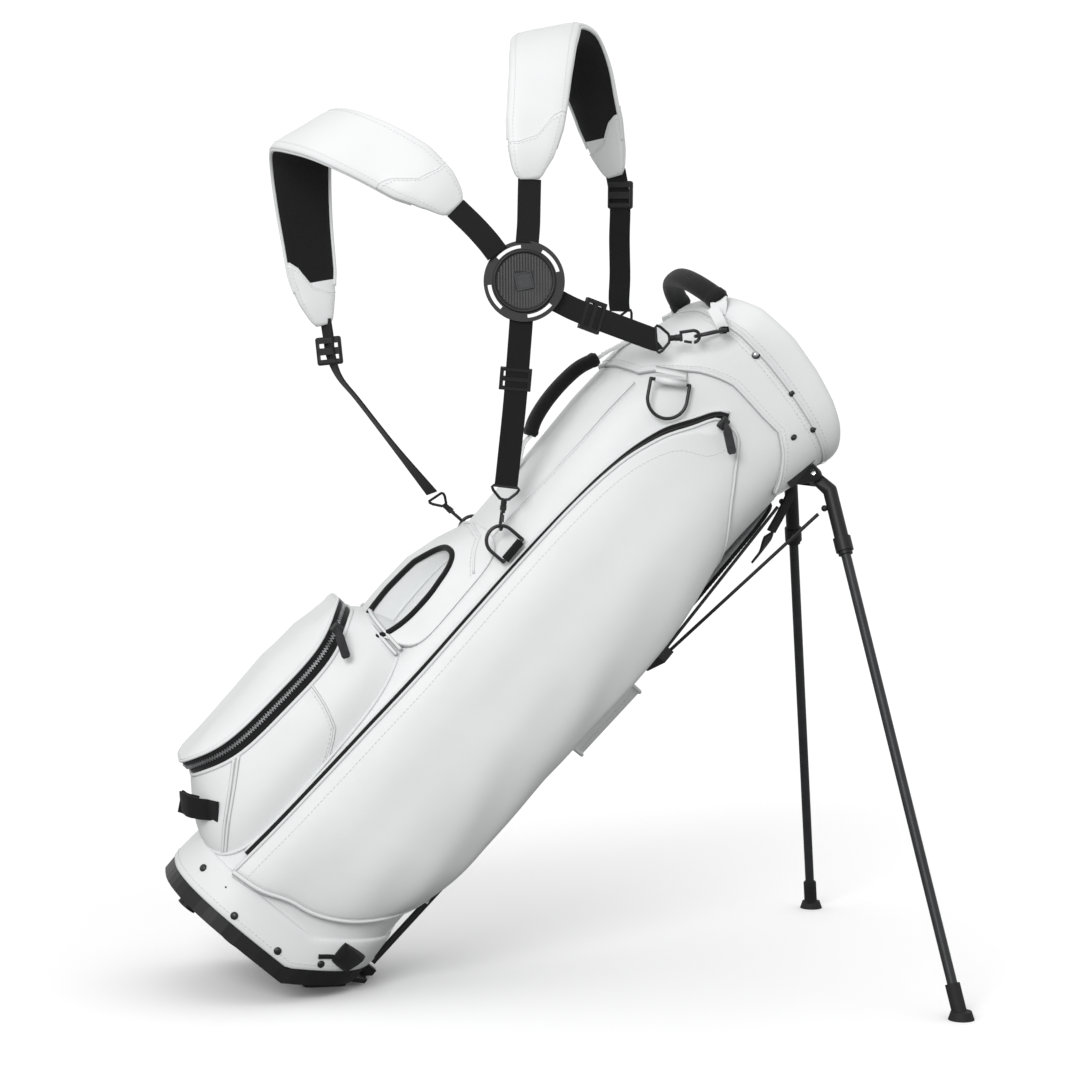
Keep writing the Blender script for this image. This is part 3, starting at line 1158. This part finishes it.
# ---------------------------------------------------------------- tabs, spine pad and small straps
def pull_tab():
    """Folded webbing tab at the near lower corner of the ball pocket."""
    walls = to_world(WALLS).reshape(-1, 3) / MM
    walls = walls[walls[:, 1] < 0]

    def wall_y(x, z):
        """World y of the pocket's near wall at x, z: the mean of its four closest points."""
        gap = np.hypot(walls[:, 0] - x, walls[:, 2] - z)
        return walls[np.argsort(gap)[:4], 1].mean()

    root, y = wall_y(-118, 207) - 1.6, wall_y(-128, 208) - 1.8
    up = np.array([-1.5, 0, 11.3]) * MM
    front = np.array([[-118, root, 207], [-128, y, 208], [-138, y - 3.5, 210], [-148, y - 2, 213],
                      [-155, y + 5, 216], [-157, y + 11, 217]])
    strap_strip("pull_tab", front * MM, np.tile(up, (6, 1)), 2.6, "webbing", replaces=("fabric_tabs",))
    back = np.array([[-141, y + 1.5, 211], [-149, y + 2.5, 213.5], [-155, y + 8, 216], [-158, y + 10, 217]])
    strap_strip("pull_tab_fold", back * MM, np.tile(up * 1.12, (4, 1)), 2.6, "neoprene")


def heel_tabs():
    """Domed tab at each side of the heel, and the short cord in front of it."""
    base, top = [(66, 76), (95, 76), (88, 50), (66, 52)], [(68, 72), (90, 72), (85, 56), (68, 57)]
    rings = [to_world([skin(*find(w, v), off) for w, v in corners])
             for corners, off in ((base, 2.6), (base, 5.2), (top, 9.5))]
    rounded = [smooth_path(ring, 32, closed=True) * 0.35 + resample(ring, 32) * 0.65 for ring in rings]
    rounded.append(rounded[-1] * 0.02 + rounded[-1].mean(0) * 0.98)
    faces = grid_faces(4, 32, False, True) + [cap(32), cap(32, 3)]
    for side, sign in BOTH:
        piece(f"{side}_heel_tab", flip(np.stack(rounded), sign), faces, "neoprene")
    rope_pair("heel_cord", on_side([(52, 47), (60, 53), (68, 58)], 3.4, 20)[0], 2.6, "neoprene")


def resample(ring, count):
    """Even points round a straight-sided closed line."""
    closed = looped(ring)
    s = arc(closed)
    return look_up(np.linspace(0, s[-1], count, endpoint=False), s, closed)


pull_tab()
heel_tabs()


def spine_pad():
    """Padded back rest on the spine side, edged in black; its profile is (share of its size, height)."""
    phi = full_turn(96)
    loop = np.stack([0 * phi, 52 * spow(np.cos(phi), 0.45), 86 * spow(np.sin(phi), 0.45)], -1)
    profile = [(1.0, 0.0), (1.0, 1.6), (0.985, 3.0), (0.95, 4.0), (0.88, 4.8),
               (0.7, 5.4), (0.45, 5.8), (0.2, 6.0), (0.01, 6.0)]
    foot, middle = 136.4, 666
    pts = np.stack([loop * share + [foot + high, 0, middle] for share, high in profile])
    faces = grid_faces(len(profile), 96, False, True) + [cap(96)]
    piece("spine_pad", to_world(pts), faces, "leather", replaces=("hip_pad",))
    rope("spine_pad_edge", to_world(loop + [foot + 1.2, 0, middle]), 2.3, "neoprene", closed=True)
    edge = looped(loop * 0.9 + [foot + 4.6, 0, middle])
    stitches("spine_pad_stitches", [(to_world(edge), unit(turned([1, 0, 0])))], radius=0.36)


spine_pad()


def rod_sleeve():
    """Leather flap sewn over the push rod, with squared ends."""
    low, top = np.array([128, 0, 66.0]), np.array([152, 0, 530.0])
    d, y = np.linspace(331, 428, 40)[:, None], np.linspace(-1, 1, 49)[None]
    arch = (1 - np.abs(y) ** 2.6) ** 0.6

    def surface(wide, high):
        """Grid of bag points on an arch over the rod, waved a little along its middle."""
        lift = 0.8 * waviness(d, y * 90, 71, 1.0) * (1 - np.abs(y))
        bulge = np.stack([-6 + high * arch + lift, wide * y + 0 * d, 0 * lift], -1)
        return low + unit(top - low) * d[..., None] + bulge

    outer = to_world(surface(28, 21))
    shell("rod_flap", outer, to_world(surface(26, 18.9)), "leather", replaces=("rod_cover",))
    rope("rod_flap_end_low", outer[0], 2.4, "piping")
    rope("rod_flap_end_high", outer[-1], 2.4, "piping")
    sewn = to_world(surface(28, 21.4))
    rows = [(sewn[:, column], unit(turned([0.8, side, 0]))) for column, side in ((4, -0.6), (44, 0.6))]
    stitches("rod_flap_stitches", rows, radius=0.36)


rod_sleeve()


def leg_straps():
    """Black strap that runs from the spine side to the far leg, in two flat lengths."""
    upper = [(146, -36, 776), (152, -36, 752), (158, -31, 728)]
    lower = [(158.4, -30, 724), (166, -18, 712), (172, 4, 704), (176, 20, 700)]
    flat, upright = turned([5.4, 4, 1.2]), turned([0, 0, 8.5])
    strap_strip("leg_strap_upper", to_world(upper), np.tile(flat, (3, 1)), 3.0, "webbing",
                replaces=("leg_strap",))
    strap_strip("leg_strap_lower", to_world(lower), np.tile(upright, (4, 1)), 3.0, "webbing")


leg_straps()


def ring_tabs():
    """Leather tab on each side that holds the upper strap ring."""
    line = to_world([(-72, -117, 859), (-66, -122, 856), (-58, -126.5, 852), (-50, -127.5, 848)])
    halves = np.tile(turned([2, 0, 6]), (4, 1))
    for side, sign in BOTH:
        strap_strip(f"{side}_ring_tab", flip(line, sign), flip(halves, sign), 2.6, "leather")


ring_tabs()


def towel_tab():
    """Leather sleeve round the bar of the towel ring, sewn flat to the tube above it."""
    middle, bar, up = np.array([-56, -123, 767.0]), np.array([0.866, 0, 0.5]), np.array([-0.5, 0, 0.866])
    out, turn, radius = np.array([0, -1.0, 0]), np.radians(np.linspace(-150, 90, 20))[:, None], 3.6
    wrap = radius * (up * np.sin(turn) + out * np.cos(turn))
    section = np.concatenate([wrap, [up * 9 - out * 4.2, up * 15 - out * 6.6]])
    outer, inner = (np.stack([section * share + middle + bar * reach for reach in (-half, half)])
                    for share, half in ((1, 17.5), (0.62, 17.0)))
    shell("near_towel_tab", to_world(outer), to_world(inner), "leather")


towel_tab()

# ---------------------------------------------------------------- floor and finish
def studio_floor():
    """White floor: darker where it lights the bag than where it is seen, and glowing far from the bag."""
    half, white = 9, (0.97, 0.97, 0.97)
    mesh = bpy.data.meshes.new("floor")
    corners = [(-half, -half, 0), (half, -half, 0), (half, half, 0), (-half, half, 0)]
    mesh.from_pydata(corners, [], [(0, 1, 2, 3)])
    floor = bpy.data.objects.new("floor", mesh)
    bpy.context.scene.collection.objects.link(floor)
    ground = Shade("floor", white, 0.9, Specular_IOR_Level=0.1, Emission_Color=(1, 1, 1, 1))
    ground.bump(ground.noise(300, 2), 0.02, 0.0002)
    ground.vary(ground.new("ShaderNodeLightPath").outputs["Is Camera Ray"], (0.2, 0.2, 0.2), white)
    distance = ground.new("ShaderNodeVectorMath", operation="LENGTH")
    ground.link(ground.coords, distance.inputs[0])
    glow = ground.ranged(distance.outputs["Value"], 0.04, 0.26, start=0.5, end=1.9)
    ground.link(glow, ground.bsdf.inputs["Emission Strength"])
    mesh.materials.append(ground.mat)


studio_floor()
